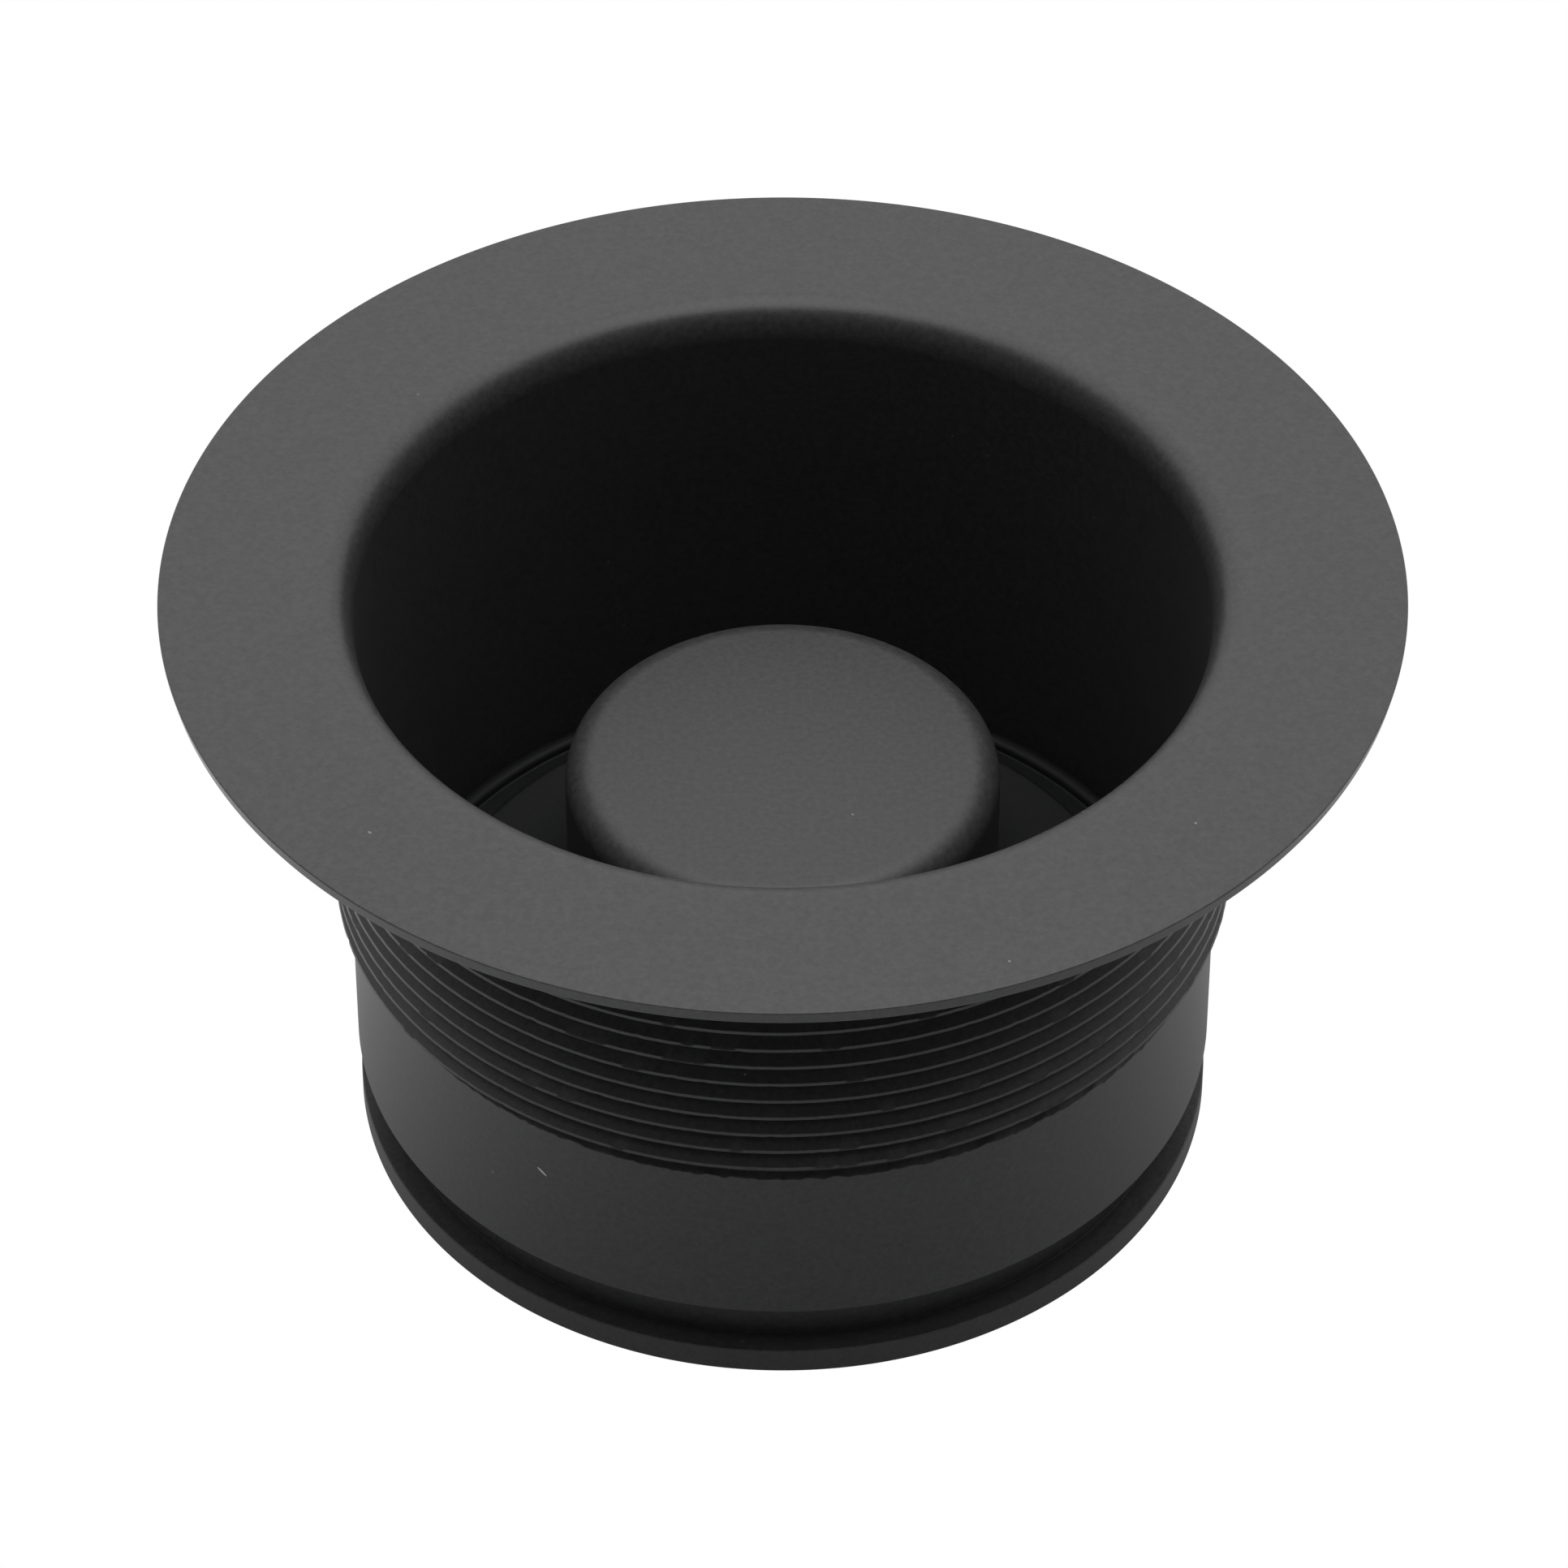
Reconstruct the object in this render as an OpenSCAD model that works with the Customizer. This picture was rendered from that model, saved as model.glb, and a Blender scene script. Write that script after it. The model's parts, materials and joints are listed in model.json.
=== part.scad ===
// Kitchen sink drain flange for a garbage disposal, with its lift-out stopper.
// The flange stands on its foot at z = 0, the rim is on top, and every piece
// turns about the Z axis. The stopper is drawn where it rests, on its seat.

/* [Rim] */
// Outside diameter of the rim that lies on the floor of the sink
rim_d = 114.3; // [104:0.1:130]
// Thickness of the rim
rim_t = 1.45; // [1.2:0.05:2.5]
// How much the rim's edge leans in from its top to its underside
rim_draft = 0.3; // [0:0.05:0.6]
// Radius of the round between the rim and the throat
mouth_round = 3; // [1.5:0.1:4]
// Radius of the fillet between the rim's underside and the barrel
rim_fillet = 2; // [1:0.1:3]

/* [Barrel] */
// Height of the flange from its foot to the top of its rim
flange_h = 62.1; // [50:0.1:80]
// Outside diameter of the plain sleeve
sleeve_d = 81.6; // [66:0.1:86]
// Wall between the plain sleeve and the throat
sleeve_wall = 1.4; // [1:0.05:2]

/* [Thread] */
// Outside diameter of the thread
thread_d = 84.36; // [83.5:0.02:88]
// Pitch of the thread, 12 turns to the inch
thread_pitch = 2.117; // [1.5:0.001:2.6]
// Width of the flat on the thread's crest
thread_crest = 0.3; // [0.1:0.05:0.5]
// Width of the flat at the thread's root
thread_root = 0.1; // [0.05:0.05:0.3]
// Distance from the rim's underside down to the first ridge
thread_gap = 3.85; // [2:0.05:8]
// Longest stretch of barrel that the ridges may fill
thread_len = 29.8; // [20:0.1:30]
// Length of the relief below the last ridge, with the slope at its end
thread_relief = 1.65; // [0.5:0.05:3]
// Depth of the relief below the sleeve
relief_depth = 0.6; // [0.2:0.05:0.8]

/* [Snap ring groove] */
// Height of the groove
groove_h = 5.4; // [4:0.1:6.5]
// Depth of the groove below the sleeve
groove_depth = 2.55; // [1.5:0.05:3.1]
// Height of the lip under the groove
lip_h = 2.8; // [2:0.1:4]
// How much the lip's radius is smaller than the sleeve's
lip_step = 0.15; // [0.05:0.05:0.4]
// Chamfer on the edges of the lip
lip_chamfer = 0.25; // [0.1:0.05:0.5]

/* [Stopper seat] */
// Wall between the groove and the neck
neck_wall = 1.35; // [1:0.05:2]
// Thickness of the ledge that the stopper rests on
ledge_t = 3.2; // [1:0.1:4]

/* [Stopper knob] */
// Diameter of the knob
knob_d = 40.7; // [32:0.1:46]
// Height of the knob above the plate
knob_h = 23.8; // [16:0.1:30]
// Radius of the round on the knob's top edge
knob_round = 2.8; // [1:0.1:4]
// Wall of the hollow knob
knob_wall = 2.2; // [1.5:0.1:3.5]
// Diameter of the screw boss inside the knob
boss_d = 14; // [11:0.5:16]

/* [Stopper plate] */
// Width of the seal that shows round the plate
seal_margin = 5.4; // [4:0.1:7]
// Thickness of the plate under the knob and at its edge
plate_t = 3.2; // [2:0.1:5]
// Radius of the round on the plate's top edge
plate_round = 0.8; // [0.2:0.1:1.5]
// Depth of the round-bottomed channel between the knob and the plate's edge
dish_depth = 1.6; // [0.4:0.1:2.4]
// Flat land left on each side of the channel
dish_land = 0.1; // [0.05:0.05:1]
// Diameter of the spigot that centres the seal
spigot_d = 20; // [14:0.5:30]

/* [Seal and backing plate] */
// Thickness of the seal's web
seal_t = 2.2; // [1.5:0.1:3.5]
// Width of the bead round the seal's edge
bead_w = 1.8; // [1:0.1:2.4]
// Radial gap between the seal and the throat
seal_gap = 0.3; // [0.2:0.05:0.8]
// Radial gap between the seal's hole and the spigot
seal_hole_gap = 0.1; // [0:0.05:0.5]
// Thickness of the backing plate
backing_t = 2; // [1.5:0.1:3]
// Radial gap between the backing plate and the neck
backing_gap = 0.5; // [0.4:0.05:1.5]

/* [Screw and washer] */
// Thread diameter of the screw
screw_d = 6; // [5:0.5:8]
// Length of the screw under its head
screw_len = 20; // [14:0.5:25]
// Diameter of the screw's head
screw_head_d = 11; // [9.5:0.1:13]
// Height of the screw's head
screw_head_h = 3.4; // [2.5:0.1:3.6]
// Width of one arm of the cross recess
cross_w = 1.2; // [0.8:0.1:1.6]
// Length across the cross recess
cross_len = 6; // [4:0.1:7]
// Depth of the cross recess
cross_depth = 2; // [1:0.1:2.2]
// Radial clearance round the screw where it passes a plate
screw_clearance = 0.3; // [0.1:0.05:0.6]
// Radial gap between the screw and its hole in the boss
thread_clearance = 0.05; // [0.02:0.01:0.1]
// Depth of boss left above the end of the screw
boss_spare = 1.5; // [0.5:0.1:3]
// Outside diameter of the spring washer
washer_d = 10.6; // [9:0.1:12.5]
// Thickness of the spring washer
washer_t = 1.6; // [1:0.1:1.8]
// Width of the split in the spring washer
washer_split = 1; // [0.5:0.1:2]

/* [Hidden] */
$fn = 160;

// Cuts run this far past the surfaces that they open
past = 1;
black = [0.12, 0.12, 0.13];
rubber = [0.07, 0.07, 0.07];
steel = [0.62, 0.62, 0.64];

// Radii of the flange
rim_r = rim_d / 2;
sleeve_r = sleeve_d / 2;
bore_r = sleeve_r - sleeve_wall;
relief_r = sleeve_r - relief_depth;
groove_r = sleeve_r - groove_depth;
neck_r = groove_r - neck_wall;
lip_r = sleeve_r - lip_step;
thread_r = thread_d / 2;
thread_depth = (thread_pitch - thread_crest - thread_root) / 2 / tan(30);
root_r = thread_r - thread_depth;
// The barrel's solid starts inside the neck, and the throat is cut from it
core_r = neck_r - past;

// Heights of the flange, up from its foot
rim_z = flange_h - rim_t;
groove_z = lip_h;
sleeve_z = groove_z + groove_h;
seat_z = sleeve_z + ledge_t;
thread_top_z = rim_z - thread_gap;
ridge_count = floor(thread_len / thread_pitch);
thread_bottom_z = thread_top_z - ridge_count * thread_pitch;
relief_z = thread_bottom_z - thread_relief;

// The stopper's stack, up from the seat
seal_r = bore_r - seal_gap;
backing_r = neck_r - backing_gap;
plate_r = seal_r - seal_margin;
plate_z = seat_z + seal_t;
knob_z = plate_z + plate_t;
knob_r = knob_d / 2;
knob_top_z = knob_z + knob_h;
// The channel in the plate is an arc midway between the knob and the plate's edge
dish_r = (knob_r + plate_r) / 2;
dish_half_w = (plate_r - knob_r) / 2 - dish_land;
dish_round = (pow(dish_half_w, 2) + pow(dish_depth, 2)) / (2 * dish_depth);
backing_z = seat_z - backing_t;
washer_z = backing_z - washer_t;
spigot_r = spigot_d / 2;
screw_r = screw_d / 2;
screw_hole_r = screw_r + screw_clearance;
screw_tip_z = washer_z + screw_len;
boss_hole_z = screw_tip_z + boss_spare;

// Sections are drawn with x as the radius and y as the height.

// Takes the square corner off a section: the round's centre is at [x, y] and
// the corner is on the side that sx and sy point to.
module corner(x, y, r, sx, sy) {
    difference() {
        translate([sx > 0 ? x : x - r - past, sy > 0 ? y : y - r - past])
            square(r + past);
        translate([x, y])
            circle(r);
    }
}

// Fills an inside corner that lies at [x, y] with a fillet on the side that
// sx and sy point to.
module fillet(x, y, r, sx, sy) {
    difference() {
        translate([sx > 0 ? x - past : x - r, sy > 0 ? y - past : y - r])
            square(r + past);
        translate([x + sx * r, y + sy * r])
            circle(r);
    }
}

// One ridge of the thread, with its top edge at the height z
module ridge(z) {
    mid = z - thread_pitch / 2;
    half_base = (thread_pitch - thread_root) / 2;
    half_crest = thread_crest / 2;
    polygon([
        [core_r, mid - half_base],
        [root_r, mid - half_base],
        [thread_r, mid - half_crest],
        [thread_r, mid + half_crest],
        [root_r, mid + half_base],
        [core_r, mid + half_base]
    ]);
}

module flange_outside() {
    // Rim
    polygon([
        [core_r, rim_z],
        [rim_r - rim_draft, rim_z],
        [rim_r, flange_h],
        [core_r, flange_h]
    ]);
    // Barrel under the thread, at the thread's root
    translate([core_r, thread_bottom_z])
        square([root_r - core_r, rim_z + rim_t / 2 - thread_bottom_z]);
    fillet(root_r, rim_z, rim_fillet, 1, -1);
    for (i = [0 : ridge_count - 1])
        ridge(thread_top_z - i * thread_pitch);
    // Relief below the thread, which slopes out like the thread to the plain sleeve
    polygon([
        [core_r, relief_z - past],
        [sleeve_r, relief_z - past],
        [sleeve_r, relief_z],
        [relief_r, relief_z + relief_depth * tan(30)],
        [relief_r, thread_bottom_z + past],
        [core_r, thread_bottom_z + past]
    ]);
    translate([core_r, sleeve_z])
        square([sleeve_r - core_r, relief_z - sleeve_z]);
    // Wall behind the snap ring groove
    translate([core_r, groove_z - past])
        square([groove_r - core_r, groove_h + 2 * past]);
    // Lip
    polygon([
        [core_r, 0],
        [lip_r - lip_chamfer, 0],
        [lip_r, lip_chamfer],
        [lip_r, lip_h - lip_chamfer],
        [lip_r - lip_chamfer, lip_h],
        [core_r, lip_h]
    ]);
}

module flange_inside() {
    translate([core_r - past, -past])
        square([neck_r - core_r + past, seat_z + 2 * past]);
    translate([core_r - past, seat_z])
        square([bore_r - core_r + past, flange_h - seat_z + past]);
    corner(bore_r + mouth_round, flange_h - mouth_round, mouth_round, -1, 1);
}

// Rim, threaded barrel, snap ring groove and stopper seat in one turned piece
module sink_flange() {
    color(black)
        rotate_extrude()
            difference() {
                flange_outside();
                flange_inside();
            }
}

// Hollow cap with a boss that takes the screw from below
module stopper_knob() {
    top_z = knob_top_z - knob_wall;
    color(black)
        rotate_extrude()
            difference() {
                translate([0, knob_z])
                    square([knob_r, knob_h]);
                corner(knob_r - knob_round, knob_top_z - knob_round, knob_round, 1, 1);
                // Hollow between the wall and the boss
                translate([boss_d / 2, knob_z - past])
                    square([knob_r - knob_wall - boss_d / 2, top_z - knob_z + past]);
                // Hole for the screw
                translate([-past, knob_z - past])
                    square([screw_r + thread_clearance + past, boss_hole_z - knob_z + past]);
            }
}

// Round plate with a shallow channel round the knob and a spigot that centres the seal
module stopper_plate() {
    color(black)
        rotate_extrude()
            difference() {
                union() {
                    translate([0, plate_z])
                        square([plate_r, plate_t]);
                    translate([0, seat_z])
                        square([spigot_r, plate_z - seat_z + past]);
                }
                corner(plate_r - plate_round, knob_z - plate_round, plate_round, 1, 1);
                translate([dish_r, knob_z - dish_depth + dish_round])
                    circle(dish_round);
                translate([-past, seat_z - past])
                    square([screw_hole_r + past, knob_z - seat_z + 2 * past]);
            }
}

// Rubber ring with a rounded bead, clamped between the two plates
module stopper_seal() {
    bead_r = bead_w / 2;
    hole_r = spigot_r + seal_hole_gap;
    color(rubber)
        rotate_extrude() {
            translate([hole_r, seat_z])
                square([seal_r - hole_r, seal_t]);
            translate([seal_r - bead_r, plate_z])
                circle(bead_r);
        }
}

module stopper_backing_plate() {
    color(steel)
        translate([0, 0, backing_z])
            difference() {
                cylinder(h = backing_t, r = backing_r);
                translate([0, 0, -past])
                    cylinder(h = backing_t + 2 * past, r = screw_hole_r);
            }
}

// Spring washer, split on one side
module stopper_spring_washer() {
    color(steel)
        translate([0, 0, washer_z])
            difference() {
                cylinder(h = washer_t, r = washer_d / 2);
                translate([0, 0, -past])
                    cylinder(h = washer_t + 2 * past, r = screw_hole_r);
                translate([0, -washer_split / 2, -past])
                    cube([washer_d, washer_split, washer_t + 2 * past]);
            }
}

// Pan head screw, driven from below into the knob's boss
module stopper_screw() {
    head_z = washer_z - screw_head_h;
    head_round = screw_head_h / 2;
    color(steel)
        difference() {
            rotate_extrude()
                difference() {
                    union() {
                        translate([0, head_z])
                            square([screw_head_d / 2, screw_head_h]);
                        translate([0, washer_z - past])
                            square([screw_r, screw_len + past]);
                    }
                    corner(screw_head_d / 2 - head_round, head_z + head_round, head_round, 1, -1);
                }
            for (turn = [0, 90])
                rotate([0, 0, turn])
                    translate([-cross_len / 2, -cross_w / 2, head_z - past])
                        cube([cross_len, cross_w, cross_depth + past]);
        }
}

sink_flange();
stopper_knob();
stopper_plate();
stopper_seal();
stopper_backing_plate();
stopper_spring_washer();
stopper_screw();
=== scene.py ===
import json
import math

import bmesh
import bpy
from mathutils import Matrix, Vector, noise


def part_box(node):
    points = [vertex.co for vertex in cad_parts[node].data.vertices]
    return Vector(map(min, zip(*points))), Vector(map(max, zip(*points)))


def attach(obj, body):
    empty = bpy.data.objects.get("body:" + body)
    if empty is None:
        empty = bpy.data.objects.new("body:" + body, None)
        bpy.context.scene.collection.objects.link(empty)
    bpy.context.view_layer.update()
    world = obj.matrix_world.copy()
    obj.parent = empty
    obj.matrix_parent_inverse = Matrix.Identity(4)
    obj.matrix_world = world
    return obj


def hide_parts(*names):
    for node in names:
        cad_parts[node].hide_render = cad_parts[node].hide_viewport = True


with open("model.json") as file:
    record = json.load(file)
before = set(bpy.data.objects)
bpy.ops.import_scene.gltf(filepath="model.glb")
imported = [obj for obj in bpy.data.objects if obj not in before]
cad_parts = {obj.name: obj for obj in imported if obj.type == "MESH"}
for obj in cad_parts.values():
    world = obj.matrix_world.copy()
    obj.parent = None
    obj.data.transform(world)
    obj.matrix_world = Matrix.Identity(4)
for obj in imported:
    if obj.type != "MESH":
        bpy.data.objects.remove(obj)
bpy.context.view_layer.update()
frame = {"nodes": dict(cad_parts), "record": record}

mm = 0.001
fullTurn = 2 * math.pi
mounts = {m["name"]: m for m in frame["record"]["mounts"]}
print("frame loaded:", ", ".join(sorted(frame["nodes"])))


def nodeSize(name):
    # outer radius, lowest height and highest height of a turned node, in millimetres
    low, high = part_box(name)
    return max(high.x, high.y) / mm, low.z / mm, high.z / mm


def mountRadius(name):
    return mounts[name]["dims"]["r_mm"]


def mountSpan(name):
    # lowest and highest height of a mount on the upright axis, in millimetres
    middle = mounts[name]["pos_m"][2] / mm
    half = mounts[name]["dims"]["length_mm"] / 2
    return middle - half, middle + half


# camera, white floor and the light round the object
studio = {
    "lens": 174.05, "sensor": 36.0, "nearest": 0.01, "furthest": 20,
    "cameraAt": (0.12, -526.1, 514.0),   # millimetres
    "cameraTilt": 47.8,                  # degrees up from looking straight down
    "floorSize": 4.0, "floorWhite": 1.0,
    "floorDrop": 0.02,                   # millimetres under the foot
    # light thrown up by the floor, stronger away from the foot, behind and to the left
    "bounceNear": 0.235, "bounceFar": 0.89, "nearRadius": 0.04, "farRadius": 0.13,
    "bounceFront": 0.94, "bounceBack": 2.5, "frontEdge": -0.06, "backEdge": 0.05,
    "bounceLeft": 1.2, "bounceRight": 0.88, "sideReach": 0.08,
    "worldWhite": 1.0,                   # only the camera sees this white
    # light from the dome: a wide soft source behind, a small one overhead, little in front
    "frontTone": 0.1, "backTone": 1.45,
    "hazeLow": -0.45, "hazeHigh": 0.6,   # heights between which the back light fades in
    "backLow": 0.05, "backHigh": 0.92,
    "backTowards": (0.02, 0.62, 0.78),
    "overheadTone": 2.7, "overheadLow": 0.88, "overheadHigh": 0.98,
    "overheadTowards": (0.05, 0.0, 1.0),
    "tint": (1.025, 1.0, 1.02, 1), "backdrop": (1, 1, 1, 1),
}


def addNode(tree, kind, inputs=None, **settings):
    made = tree.nodes.new("ShaderNode" + kind)
    for key, value in settings.items():
        setattr(made, key, value)
    for key, value in (inputs or {}).items():
        if isinstance(value, bpy.types.NodeSocket):
            tree.links.new(value, made.inputs[key])
        else:
            made.inputs[key].default_value = value
    return made


def makeCamera():
    data = bpy.data.cameras.new("camera")
    data.lens = studio["lens"]
    data.sensor_width = studio["sensor"]
    data.clip_start = studio["nearest"]
    data.clip_end = studio["furthest"]
    camera = bpy.data.objects.new("camera", data)
    camera.location = Vector(studio["cameraAt"]) * mm
    camera.rotation_euler = (math.radians(studio["cameraTilt"]), 0, 0)
    bpy.context.scene.collection.objects.link(camera)
    bpy.context.scene.camera = camera


def makeFloor():
    bm = bmesh.new()
    bmesh.ops.create_grid(bm, x_segments=1, y_segments=1, size=studio["floorSize"] / 2)
    bmesh.ops.translate(bm, verts=bm.verts, vec=(0, 0, -studio["floorDrop"] * mm))
    mesh = bpy.data.meshes.new("floor")
    bm.to_mesh(mesh)
    bm.free()
    floor = bpy.data.objects.new("floor", mesh)
    bpy.context.scene.collection.objects.link(floor)
    paper = bpy.data.materials.new("whitePaper")
    paper.use_nodes = True
    tree = paper.node_tree
    tree.nodes.clear()
    place = addNode(tree, "TexCoord").outputs["Object"]
    away = addNode(tree, "VectorMath", {0: place}, operation="LENGTH")
    ring = addNode(tree, "MapRange", {
        "Value": away.outputs["Value"],
        "From Min": studio["nearRadius"], "From Max": studio["farRadius"],
        "To Min": studio["bounceNear"], "To Max": studio["bounceFar"]})
    axes = addNode(tree, "SeparateXYZ", {"Vector": place})
    back = addNode(tree, "MapRange", {
        "Value": axes.outputs["Y"],
        "From Min": studio["frontEdge"], "From Max": studio["backEdge"],
        "To Min": studio["bounceFront"], "To Max": studio["bounceBack"]})
    side = addNode(tree, "MapRange", {
        "Value": axes.outputs["X"],
        "From Min": -studio["sideReach"], "From Max": studio["sideReach"],
        "To Min": studio["bounceLeft"], "To Max": studio["bounceRight"]})
    around = addNode(tree, "Math", {
        0: back.outputs["Result"], 1: side.outputs["Result"]}, operation="MULTIPLY")
    bounce = addNode(tree, "Math", {
        0: ring.outputs["Result"], 1: around.outputs["Value"]}, operation="MULTIPLY")
    seen = addNode(tree, "LightPath").outputs["Is Camera Ray"]
    strength = addNode(tree, "Mix", {
        "Factor": seen, "A": bounce.outputs["Value"], "B": studio["floorWhite"]})
    glow = addNode(tree, "Emission", {"Strength": strength.outputs["Result"]})
    addNode(tree, "OutputMaterial", {"Surface": glow.outputs["Emission"]})
    mesh.materials.append(paper)


def makeWorld():
    # a soft dome, bright behind and straight above, dim on the camera's side
    world = bpy.data.worlds.new("softDome")
    world.use_nodes = True
    bpy.context.scene.world = world
    tree = world.node_tree
    tree.nodes.clear()
    place = addNode(tree, "TexCoord").outputs["Generated"]

    def lobe(name, low, dim, bright):
        towards = Vector(studio[name + "Towards"]).normalized()
        facing = addNode(tree, "VectorMath", {0: place, 1: towards}, operation="DOT_PRODUCT")
        return addNode(tree, "MapRange", {
            "Value": facing.outputs["Value"], "To Min": dim, "To Max": bright,
            "From Min": low, "From Max": studio[name + "High"]},
            interpolation_type="SMOOTHSTEP").outputs["Result"]

    back = lobe("back", studio["backLow"], studio["frontTone"], studio["backTone"])
    overhead = lobe("overhead", studio["overheadLow"], 0.0, studio["overheadTone"])
    height = addNode(tree, "SeparateXYZ", {"Vector": place}).outputs["Z"]
    haze = addNode(tree, "MapRange", {
        "Value": height, "From Min": studio["hazeLow"], "From Max": studio["hazeHigh"]},
        interpolation_type="SMOOTHSTEP")
    behind = addNode(tree, "Math", {0: back, 1: haze.outputs["Result"]}, operation="MULTIPLY")
    dome = addNode(tree, "Math", {0: behind.outputs["Value"], 1: overhead}, operation="ADD")
    seen = addNode(tree, "LightPath").outputs["Is Camera Ray"]
    strength = addNode(tree, "Mix", {
        "Factor": seen, "A": dome.outputs["Value"], "B": studio["worldWhite"]})
    colour = addNode(tree, "MixRGB", {
        "Fac": seen, "Color1": studio["tint"], "Color2": studio["backdrop"]})
    sky = addNode(tree, "Background", {
        "Color": colour.outputs["Color"], "Strength": strength.outputs["Result"]})
    addNode(tree, "OutputWorld", {"Surface": sky.outputs["Background"]})


makeCamera()
makeFloor()
makeWorld()
bpy.context.scene.view_settings.view_transform = "Standard"
bpy.context.scene.view_settings.look = "None"
print("camera, floor and studio light made")


# finishes: black powder coat, a darker copy of it that paints shade onto the plate, seal rubber,
# turned steel
blackCoat = {
    "colour": (0.0255, 0.0264, 0.0264, 1), "paler": (0.0425, 0.044, 0.044, 1),
    "bare": (0.5, 0.5, 0.48, 1), "speckStrength": 0.3,
    "mottleScale": 1700, "mottleDetail": 3.0, "mottleRoughness": 0.6,
    "mottleLow": 0.3, "mottleHigh": 0.7,
    "grainScale": 8500, "grainDetail": 2.0, "grainRoughness": 0.5,
    "speckScale": 300, "speckSize": 0.045, "speckShare": 0.84, "dotCore": 0.6,
    "scratchScale": 210, "scratchSize": 0.03, "scratchStretch": 0.11, "scratchShare": 0.8,
    "scratchTurn": (0.9, 0.7, 0.4),
    # one short scratch low on the sleeve: its middle, turn and half sizes in millimetres
    "nickAt": (-22.1, -34.3, 20.0), "nickTurn": (0.0, 0.575, -0.573), "nickHalf": (0.6, 0.11, 0.11),
    "smoothest": 0.4, "roughest": 0.5,
    "grainDepth": 0.012 * mm, "mottleDepth": 0.02 * mm, "shine": 0.42,
}

# the same black coat made darker and duller for the plate at the bottom of the bore: painted shade,
# standing in for the shade down there
shadedCoat = dict(
    blackCoat, colour=(0.007, 0.008, 0.008, 1), paler=(0.011, 0.012, 0.012, 1),
    smoothest=0.5, roughest=0.6, shine=0.15)

sealRubber = {
    "colour": (0.008, 0.009, 0.009, 1), "paler": (0.012, 0.013, 0.013, 1),
    "bloomScale": 420, "bloomDetail": 4.0, "grainScale": 5200, "grainDetail": 2.0,
    "smoothest": 0.45, "roughest": 0.55, "grainDepth": 0.01 * mm, "shine": 0.2,
}

turnedSteel = {
    "colour": (0.55, 0.55, 0.56, 1), "darker": (0.42, 0.42, 0.43, 1),
    "ringScale": 2600, "ringWander": 0.6, "ringDetail": 2.0, "ringDepth": 0.004 * mm,
    "patchScale": 160, "patchDetail": 5.0, "smoothest": 0.26, "roughest": 0.4,
}


def newMaterial(name):
    material = bpy.data.materials.new(name)
    material.use_nodes = True
    material.node_tree.nodes.clear()
    return material, material.node_tree


def finishMaterial(tree, shader):
    addNode(tree, "OutputMaterial", {"Surface": shader.outputs["BSDF"]})


def sparseDots(tree, where, scale, size, share, core):
    # a few small dots: the middles of some Voronoi cells, 1 on a dot and 0 off it
    cells = addNode(tree, "TexVoronoi", {"Vector": where, "Scale": scale})
    dot = addNode(tree, "MapRange", {
        "Value": cells.outputs["Distance"], "From Min": size, "From Max": size * core})
    pick = addNode(tree, "SeparateColor", {"Color": cells.outputs["Color"]})
    chosen = addNode(tree, "Math", {0: pick.outputs["Red"], 1: share}, operation="GREATER_THAN")
    mask = addNode(tree, "Math", {
        0: dot.outputs["Result"], 1: chosen.outputs["Value"]}, operation="MULTIPLY")
    return mask.outputs["Value"]


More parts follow.
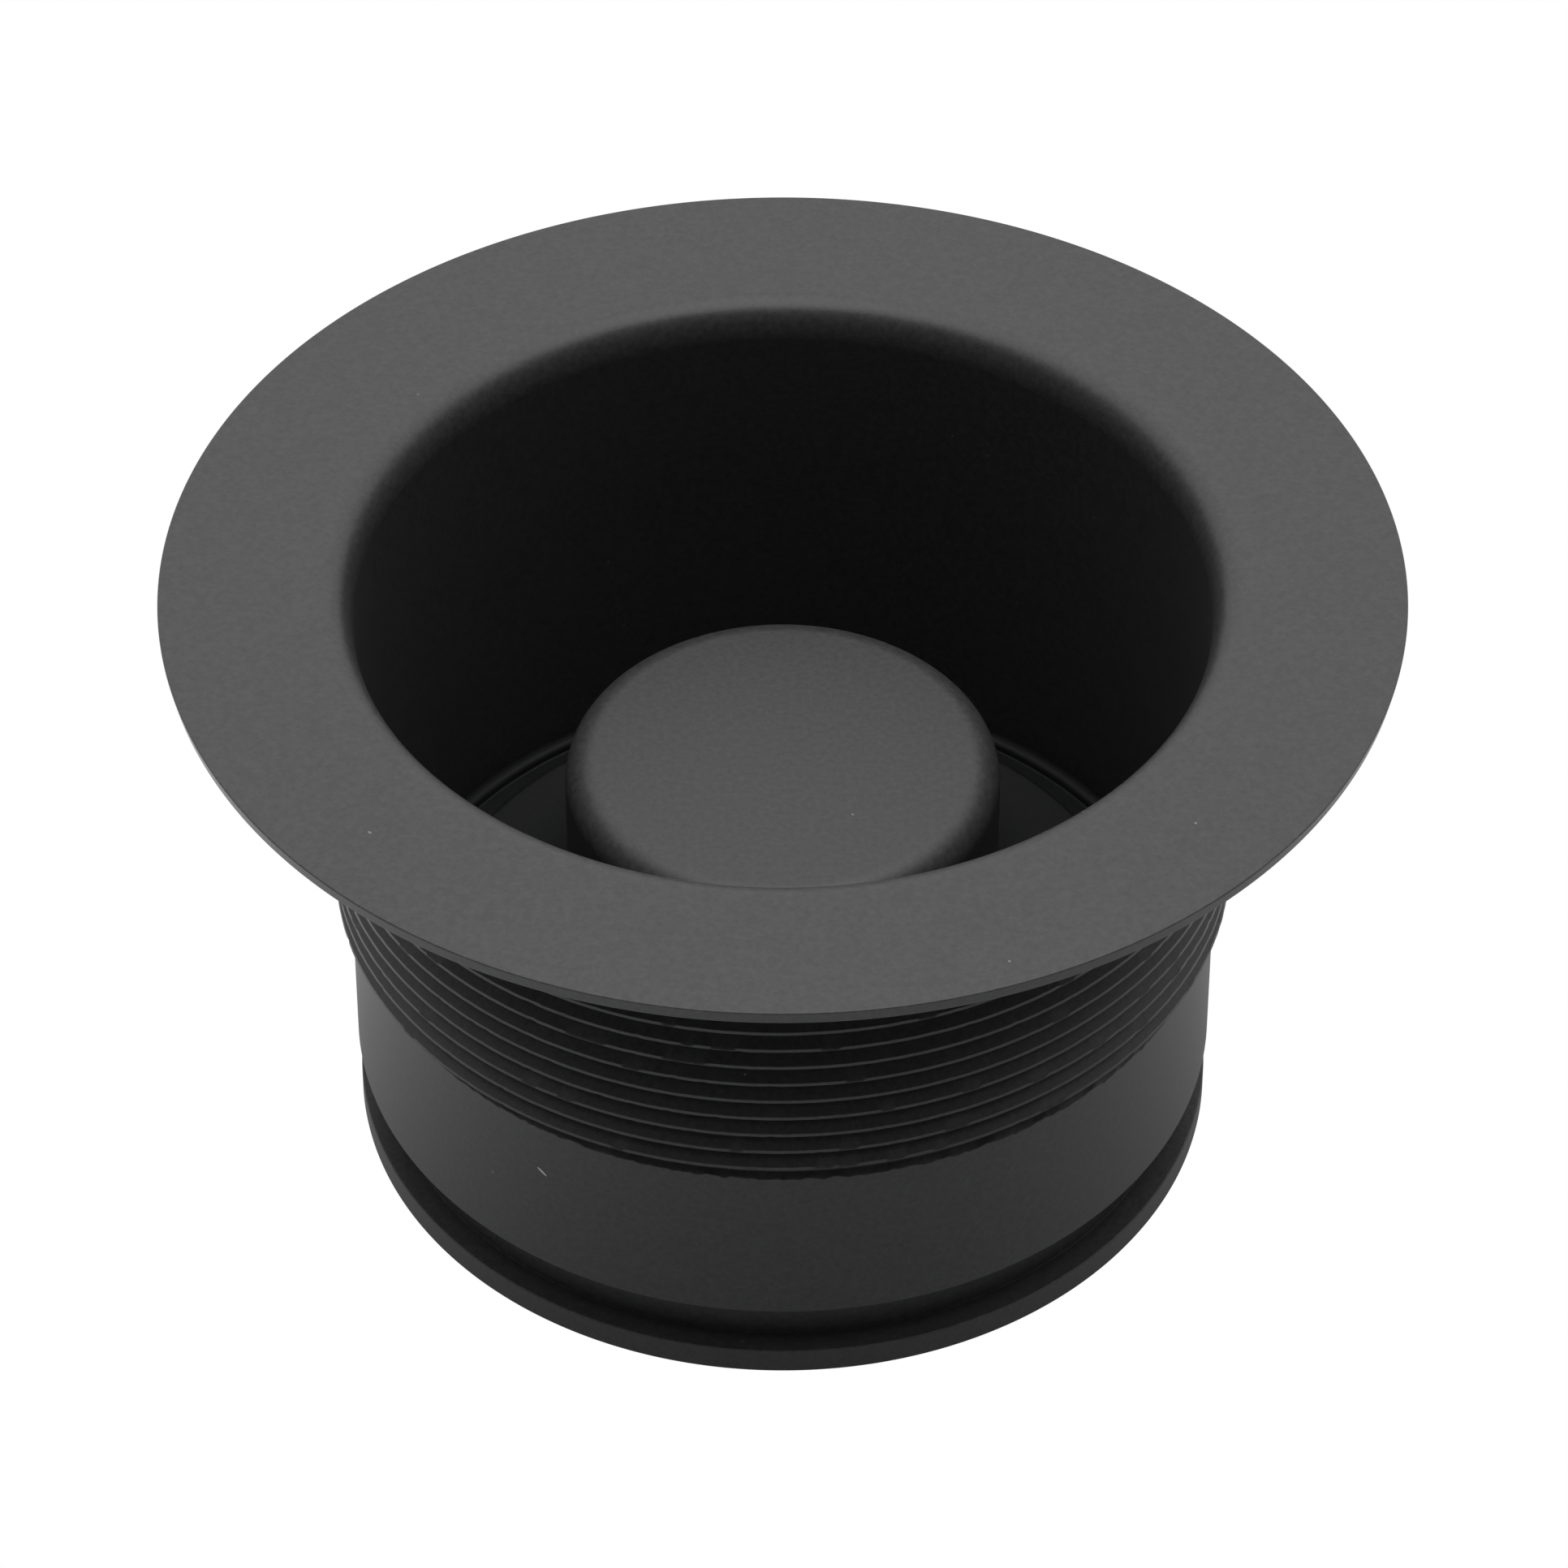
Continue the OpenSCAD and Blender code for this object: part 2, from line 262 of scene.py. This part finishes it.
def makeCoat(name, look):
    # matte black coating: fine powder grain, faint mottling, a few pale specks and short scratches
    material, tree = newMaterial(name)
    place = addNode(tree, "TexCoord").outputs["Object"]
    mottle = addNode(tree, "TexNoise", {
        "Vector": place, "Scale": look["mottleScale"],
        "Detail": look["mottleDetail"], "Roughness": look["mottleRoughness"]})
    grain = addNode(tree, "TexNoise", {
        "Vector": place, "Scale": look["grainScale"],
        "Detail": look["grainDetail"], "Roughness": look["grainRoughness"]})
    clouds = addNode(tree, "MapRange", {
        "Value": mottle.outputs["Fac"],
        "From Min": look["mottleLow"], "From Max": look["mottleHigh"]})
    coat = addNode(tree, "MixRGB", {
        "Fac": clouds.outputs["Result"], "Color1": look["colour"], "Color2": look["paler"]})
    specks = sparseDots(
        tree, place, look["speckScale"], look["speckSize"], look["speckShare"], look["dotCore"])
    turned = addNode(tree, "Mapping", {"Vector": place, "Rotation": look["scratchTurn"]})
    stretched = addNode(tree, "VectorMath", {
        0: turned.outputs["Vector"], 1: (1, 1, look["scratchStretch"])}, operation="MULTIPLY")
    scratches = sparseDots(
        tree, stretched.outputs["Vector"],
        look["scratchScale"], look["scratchSize"], look["scratchShare"], look["dotCore"])
    fromNick = addNode(tree, "Mapping", {
        "Vector": place, "Location": Vector(look["nickAt"]) * mm, "Rotation": look["nickTurn"],
        "Scale": Vector(look["nickHalf"]) * mm}, vector_type="TEXTURE")
    nickSpan = addNode(tree, "VectorMath", {0: fromNick.outputs["Vector"]}, operation="LENGTH")
    nick = addNode(tree, "Math", {0: nickSpan.outputs["Value"], 1: 1.0}, operation="LESS_THAN")
    dots = addNode(tree, "Math", {0: specks, 1: scratches}, operation="MAXIMUM")
    faint = addNode(tree, "Math", {
        0: dots.outputs["Value"], 1: look["speckStrength"]}, operation="MULTIPLY")
    marks = addNode(tree, "Math", {
        0: faint.outputs["Value"], 1: nick.outputs["Value"]}, operation="MAXIMUM")
    colour = addNode(tree, "MixRGB", {
        "Fac": marks.outputs["Value"], "Color1": coat.outputs["Color"], "Color2": look["bare"]})
    roughness = addNode(tree, "MapRange", {
        "Value": mottle.outputs["Fac"], "To Min": look["smoothest"], "To Max": look["roughest"]})
    lumps = addNode(tree, "Bump", {
        "Height": mottle.outputs["Fac"], "Distance": look["mottleDepth"], "Strength": 1.0})
    powder = addNode(tree, "Bump", {
        "Height": grain.outputs["Fac"], "Distance": look["grainDepth"], "Strength": 1.0,
        "Normal": lumps.outputs["Normal"]})
    shader = addNode(tree, "BsdfPrincipled", {
        "Base Color": colour.outputs["Color"], "Roughness": roughness.outputs["Result"],
        "Normal": powder.outputs["Normal"], "Specular IOR Level": look["shine"]})
    finishMaterial(tree, shader)
    return material


def makeRubber():
    # moulded rubber with a faint bloom
    look = sealRubber
    material, tree = newMaterial("sealRubber")
    place = addNode(tree, "TexCoord").outputs["Object"]
    bloom = addNode(tree, "TexNoise", {
        "Vector": place, "Scale": look["bloomScale"], "Detail": look["bloomDetail"]})
    grain = addNode(tree, "TexNoise", {
        "Vector": place, "Scale": look["grainScale"], "Detail": look["grainDetail"]})
    colour = addNode(tree, "MixRGB", {
        "Fac": bloom.outputs["Fac"], "Color1": look["colour"], "Color2": look["paler"]})
    roughness = addNode(tree, "MapRange", {
        "Value": bloom.outputs["Fac"], "To Min": look["smoothest"], "To Max": look["roughest"]})
    skin = addNode(tree, "Bump", {"Height": grain.outputs["Fac"], "Distance": look["grainDepth"]})
    shader = addNode(tree, "BsdfPrincipled", {
        "Base Color": colour.outputs["Color"], "Roughness": roughness.outputs["Result"],
        "Normal": skin.outputs["Normal"], "Specular IOR Level": look["shine"]})
    finishMaterial(tree, shader)
    return material


def makeSteel():
    # bare steel with fine turning rings about the upright axis
    look = turnedSteel
    material, tree = newMaterial("turnedSteel")
    place = addNode(tree, "TexCoord").outputs["Object"]
    rings = addNode(tree, "TexWave", {
        "Vector": place, "Scale": look["ringScale"],
        "Distortion": look["ringWander"], "Detail": look["ringDetail"]},
        wave_type="RINGS", rings_direction="Z")
    patches = addNode(tree, "TexNoise", {
        "Vector": place, "Scale": look["patchScale"], "Detail": look["patchDetail"]})
    colour = addNode(tree, "MixRGB", {
        "Fac": patches.outputs["Fac"], "Color1": look["colour"], "Color2": look["darker"]})
    roughness = addNode(tree, "MapRange", {
        "Value": patches.outputs["Fac"], "To Min": look["smoothest"], "To Max": look["roughest"]})
    turning = addNode(tree, "Bump", {"Height": rings.outputs["Fac"], "Distance": look["ringDepth"]})
    shader = addNode(tree, "BsdfPrincipled", {
        "Base Color": colour.outputs["Color"], "Roughness": roughness.outputs["Result"],
        "Normal": turning.outputs["Normal"], "Metallic": 1.0})
    finishMaterial(tree, shader)
    return material


coatMaterial = makeCoat("blackCoat", blackCoat)
shadedCoatMaterial = makeCoat("shadedCoat", shadedCoat)
rubberMaterial = makeRubber()
steelMaterial = makeSteel()
print("materials made: black coat, dark coat, rubber, turned steel")


# lathe work shared by every piece
lathe = {
    "steps": 240, "barrelSteps": 480, "sharpAngle": 38, "weld": 0.0004 * mm,
    "arcSteps": 5, "bigArcSteps": 15, "bigArcFrom": 1.0,
}


def drawOutline(corners, closed=False):
    # a section in the XZ plane; each corner is (radius, height, round) in millimetres
    bm = bmesh.new()
    points = [bm.verts.new((radius * mm, 0, height * mm)) for radius, height, _ in corners]
    for start, end in zip(points, points[1:]):
        bm.edges.new((start, end))
    if closed:
        bm.edges.new((points[-1], points[0]))
    for size in sorted({corner[2] for corner in corners if corner[2] > 0}):
        group = [point for point, corner in zip(points, corners) if corner[2] == size]
        steps = lathe["bigArcSteps"] if size >= lathe["bigArcFrom"] else lathe["arcSteps"]
        bmesh.ops.bevel(
            bm, geom=group, offset=size * mm, offset_type="OFFSET", affect="VERTICES",
            segments=steps, profile=0.5, material=-1)
    return bm


def turnOutline(bm, angle=fullTurn, steps=None, drop=0.0):
    bmesh.ops.spin(
        bm, geom=bm.verts[:] + bm.edges[:] + bm.faces[:], cent=(0, 0, 0), axis=(0, 0, 1),
        dvec=(0, 0, -drop * mm), angle=angle, steps=steps or lathe["steps"],
        use_merge=drop == 0, use_duplicate=False)


def finishPiece(bm, name, body, nodeName, material):
    bmesh.ops.remove_doubles(bm, verts=bm.verts, dist=lathe["weld"])
    bmesh.ops.dissolve_degenerate(bm, edges=bm.edges, dist=lathe["weld"])
    bmesh.ops.recalc_face_normals(bm, faces=bm.faces)
    sharp = math.radians(lathe["sharpAngle"])
    for face in bm.faces:
        face.smooth = True
    for edge in bm.edges:
        edge.smooth = edge.calc_face_angle(0) < sharp
    openEdges = sum(1 for edge in bm.edges if not edge.is_manifold)
    mesh = bpy.data.meshes.new(name)
    bm.to_mesh(mesh)
    bm.free()
    piece = bpy.data.objects.new(name, mesh)
    bpy.context.scene.collection.objects.link(piece)
    mesh.materials.append(material)
    weights = piece.modifiers.new("evenNormals", "WEIGHTED_NORMAL")
    weights.keep_sharp = True
    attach(piece, body)
    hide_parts(nodeName)
    print(f"{name}: {len(mesh.polygons)} faces, {openEdges} open edges")
    return piece


def smoothStep(x):
    x = min(1.0, max(0.0, x))
    return x * x * (3 - 2 * x)


# flange: rim, mouth, thread, sleeve, groove and seat in one turned piece
flange = {
    "rimThickness": 1.45, "rimDraft": 0.3, "rimEdge": 0.2,
    "mouthCone": 1.9, "mouthDrop": 1.6, "mouthRound": 1.0, "throatRound": 2.0, "rimFillet": 2.0,
    "sealGap": 0.3, "backingGap": 0.5,
    "seatEdge": 0.4, "seatCorner": 0.6, "footEdge": 0.35,
    "grooveEdge": 0.12, "grooveCorner": 0.06, "lipStep": 0.15,
    "ridges": 14, "spareTurns": 3, "turnSlack": 0.001, "flankAngle": 30,
    "crestFlat": 0.28, "crestTilt": 0.07, "crestShare": 0.9, "rootFlat": 0.1,
    "fadeFrom": 0.15, "fadeIn": 0.3,     # turns over which the thread rises out of the barrel
    "reliefDepth": 0.7, "reliefLength": 1.65, "reliefCorner": 0.1,
    "burr": 0.03, "burrScale": 900,      # roughness along the crests
    "nickScale": 1500, "nickLevel": 0.5, "nickDepth": 0.07,
    "raggedEdge": 0.3, "raggedScale": 1100, "edgeReach": 1.5,
}


def addBarrelThread(bm, top, bottom):
    # right-hand thread: one pitch of the section, turned clockwise down the barrel
    look = flange
    pitch = (top - bottom) / look["ridges"]
    crest = mountRadius("barrel_thread")
    slope = math.tan(math.radians(look["flankAngle"]))
    depth = (pitch - look["crestFlat"] - look["rootFlat"]) / 2 / slope
    root = crest - depth
    startHeight = top + pitch / 4 + pitch   # the first turn is flattened into the barrel's top
    middle = pitch / 2
    section = drawOutline([
        (root, startHeight, 0),
        (root, startHeight - look["rootFlat"] / 2, 0),
        (crest - look["crestTilt"], startHeight - middle + look["crestFlat"] / 2, 0),
        (crest, startHeight - middle - look["crestFlat"] / 2, 0),
        (root, startHeight - pitch + look["rootFlat"] / 2, 0),
        (root, startHeight - pitch, 0)])
    turnOutline(section, -fullTurn, lathe["barrelSteps"], pitch / lathe["barrelSteps"])
    firstTurn = section.verts[:] + section.edges[:] + section.faces[:]
    for index in range(1, look["ridges"] + look["spareTurns"]):
        copied = bmesh.ops.duplicate(section, geom=firstTurn)["geom"]
        bmesh.ops.translate(
            section, vec=(0, 0, -index * pitch * mm),
            verts=[item for item in copied if isinstance(item, bmesh.types.BMVert)])
    bmesh.ops.remove_doubles(section, verts=section.verts, dist=lathe["weld"])
    for vert in section.verts:
        height = vert.co.z / mm
        radius = vert.co.xy.length / mm
        part = (-math.atan2(vert.co.y, vert.co.x) / fullTurn) % 1
        turn = part + math.floor((startHeight - height) / pitch - part + look["turnSlack"])
        fade = smoothStep((turn - 1 - look["fadeFrom"]) / look["fadeIn"])
        proud = (radius - root) * fade
        if proud > depth * look["crestShare"]:
            proud += look["burr"] * noise.noise(vert.co * look["burrScale"])
            if noise.noise(vert.co * look["nickScale"]) > look["nickLevel"]:
                proud -= look["nickDepth"]
        vert.co.xy *= (root + proud) / radius
        vert.co.z = min(height, top) * mm
    cut = bmesh.ops.bisect_plane(
        section, geom=section.verts[:] + section.edges[:] + section.faces[:],
        dist=lathe["weld"] / 10, plane_co=(0, 0, bottom * mm), plane_no=(0, 0, 1), clear_inner=True)
    # shoulder down to the relief, welded to the barrel at its own steps
    rimEdges = [item for item in cut["geom_cut"] if isinstance(item, bmesh.types.BMEdge)]
    shoulder = bmesh.ops.extrude_edge_only(section, edges=rimEdges)
    step = fullTurn / lathe["barrelSteps"]
    relief = mountRadius("sleeve") - look["reliefDepth"]
    for vert in (item for item in shoulder["geom"] if isinstance(item, bmesh.types.BMVert)):
        angle = round(math.atan2(vert.co.y, vert.co.x) / step) * step
        vert.co = (
            relief * mm * math.cos(angle), relief * mm * math.sin(angle),
            (bottom - look["reliefCorner"]) * mm)
    mesh = bpy.data.meshes.new("threadPart")
    section.to_mesh(mesh)
    section.free()
    bm.from_mesh(mesh)
    bpy.data.meshes.remove(mesh)
    return root, relief


def makeFlange():
    look = flange
    rim, foot, top = nodeSize("sink_flange")
    sealRadius, seat, _ = nodeSize("stopper_seal")
    backingRadius, _, _ = nodeSize("stopper_backing_plate")
    bore = sealRadius + look["sealGap"]
    neck = backingRadius + look["backingGap"]
    sleeve = mountRadius("sleeve")
    grooveBottom, grooveTop = mountSpan("snap_ring_groove")
    groove = mountRadius("snap_ring_groove")
    threadBottom, threadTop = mountSpan("barrel_thread")
    lip = sleeve - look["lipStep"]
    underside = top - look["rimThickness"]
    reliefBottom = threadBottom - look["reliefLength"]
    reliefRise = look["reliefDepth"] * math.tan(math.radians(look["flankAngle"]))
    thread = bmesh.new()
    root, relief = addBarrelThread(thread, threadTop, threadBottom)
    bm = drawOutline([
        (root, threadTop, 0),
        (root, underside, look["rimFillet"]),
        (rim - look["rimDraft"], underside, look["rimEdge"]),
        (rim, top, look["rimEdge"]),
        (bore + look["mouthCone"], top, look["mouthRound"]),
        (bore, top - look["mouthDrop"], look["throatRound"]),
        (bore, seat, look["seatCorner"]),
        (neck, seat, look["seatEdge"]),
        (neck, foot, look["footEdge"]),
        (lip, foot, look["footEdge"]),
        (lip, grooveBottom, look["grooveEdge"]),
        (groove, grooveBottom, look["grooveCorner"]),
        (groove, grooveTop, look["grooveCorner"]),
        (sleeve, grooveTop, look["grooveEdge"]),
        (sleeve, reliefBottom, look["reliefCorner"]),
        (relief, reliefBottom + reliefRise, look["reliefCorner"]),
        (relief, threadBottom - look["reliefCorner"], 0)])
    turnOutline(bm, steps=lathe["barrelSteps"])
    # the sleeve's upper edge is left slightly ragged where the tool ran out
    edgeBand = look["reliefCorner"] * look["edgeReach"]
    for vert in bm.verts:
        height = vert.co.z / mm
        radius = vert.co.xy.length / mm
        if abs(height - reliefBottom) < edgeBand and radius > sleeve - edgeBand:
            vert.co.z += look["raggedEdge"] * mm * noise.noise(
                Vector((vert.co.x, vert.co.y, 0)) * look["raggedScale"])
    mesh = bpy.data.meshes.new("threadPart")
    thread.to_mesh(mesh)
    thread.free()
    bm.from_mesh(mesh)
    bpy.data.meshes.remove(mesh)
    return finishPiece(bm, "flangeBody", "flange", "sink_flange", coatMaterial)


makeFlange()


# stopper: knob, plate, seal and backing plate on one axis
stopper = {
    "knobRound": 2.8, "wall": 2.2, "hollowRound": 1.2,
    "bossRadius": 7.0, "screwHole": 3.05, "boltHole": 3.3, "boltHoleDepth": 1.5,
    "plateRound": 0.5, "dishDepth": 1.6, "dishLand": 0.1, "dishSteps": 20, "spigotRadius": 10.0,
    "sealWeb": 2.2, "beadWidth": 1.8, "beadShare": 0.49, "sealHoleGap": 0.1,
    "softEdge": 0.25, "crispEdge": 0.1, "heelEdge": 0.5,
}


def makeKnob():
    look = stopper
    radius, foot, top = nodeSize("stopper_knob")
    _, _, screwTip = nodeSize("stopper_screw")
    ceiling = top - look["wall"]
    bm = drawOutline([
        (0, top, 0),
        (radius, top, look["knobRound"]),
        (radius, foot, look["crispEdge"]),
        (radius - look["wall"], foot, look["crispEdge"]),
        (radius - look["wall"], ceiling, look["hollowRound"]),
        (look["bossRadius"], ceiling, look["hollowRound"]),
        (look["bossRadius"], foot, look["softEdge"]),
        (look["screwHole"], foot, look["softEdge"]),
        (look["screwHole"], screwTip + look["boltHoleDepth"], 0),
        (0, screwTip + look["boltHoleDepth"], 0)])
    turnOutline(bm)
    return finishPiece(bm, "knob", "stopper", "stopper_knob", coatMaterial)


def makePlate():
    look = stopper
    radius, seat, top = nodeSize("stopper_plate")
    knob, _, _ = nodeSize("stopper_knob")
    web = seat + look["sealWeb"]
    # round-bottomed channel between the knob and the plate's edge
    half = (radius - knob) / 2 - look["dishLand"]
    dishRound = (half ** 2 + look["dishDepth"] ** 2) / (2 * look["dishDepth"])
    reach = math.asin(half / dishRound)
    steps = look["dishSteps"]
    channel = []
    for index in range(steps):
        angle = reach * (2 * index / steps - 1)
        channel.append((
            (radius + knob) / 2 + dishRound * math.sin(angle),
            top - look["dishDepth"] + dishRound * (1 - math.cos(angle)), 0))
    bm = drawOutline([(look["boltHole"], top, look["crispEdge"])] + channel + [
        (radius, top - look["dishLand"], look["plateRound"]),
        (radius, web, look["softEdge"]),
        (look["spigotRadius"], web, look["crispEdge"]),
        (look["spigotRadius"], seat, look["softEdge"]),
        (look["boltHole"], seat, look["crispEdge"])], closed=True)
    turnOutline(bm)
    # the plate wears the darker copy of the coat: painted shade
    return finishPiece(bm, "plate", "stopper", "stopper_plate", shadedCoatMaterial)


def makeSeal():
    look = stopper
    radius, seat, top = nodeSize("stopper_seal")
    web = seat + look["sealWeb"]
    bead = look["beadWidth"]
    hole = look["spigotRadius"] + look["sealHoleGap"]
    bm = drawOutline([
        (hole, web, look["crispEdge"]),
        (radius - bead, web, look["softEdge"]),
        (radius - bead, top, bead * look["beadShare"]),
        (radius, top, bead * look["beadShare"]),
        (radius, seat, look["softEdge"]),
        (hole, seat, look["crispEdge"])], closed=True)
    turnOutline(bm)
    return finishPiece(bm, "seal", "stopper", "stopper_seal", rubberMaterial)


def makeBackingPlate():
    look = stopper
    radius, low, high = nodeSize("stopper_backing_plate")
    bm = drawOutline([
        (look["boltHole"], high, look["crispEdge"]),
        (radius, high, look["softEdge"]),
        (radius, low, look["heelEdge"]),
        (look["boltHole"], low, look["crispEdge"])], closed=True)
    turnOutline(bm)
    return finishPiece(
        bm, "backingPlate", "stopper", "stopper_backing_plate", steelMaterial)


makeKnob()
makePlate()
makeSeal()
makeBackingPlate()
for nodeName in ("stopper_spring_washer", "stopper_screw"):
    frame["nodes"][nodeName].data.materials.clear()
    frame["nodes"][nodeName].data.materials.append(steelMaterial)
print("stopper made")
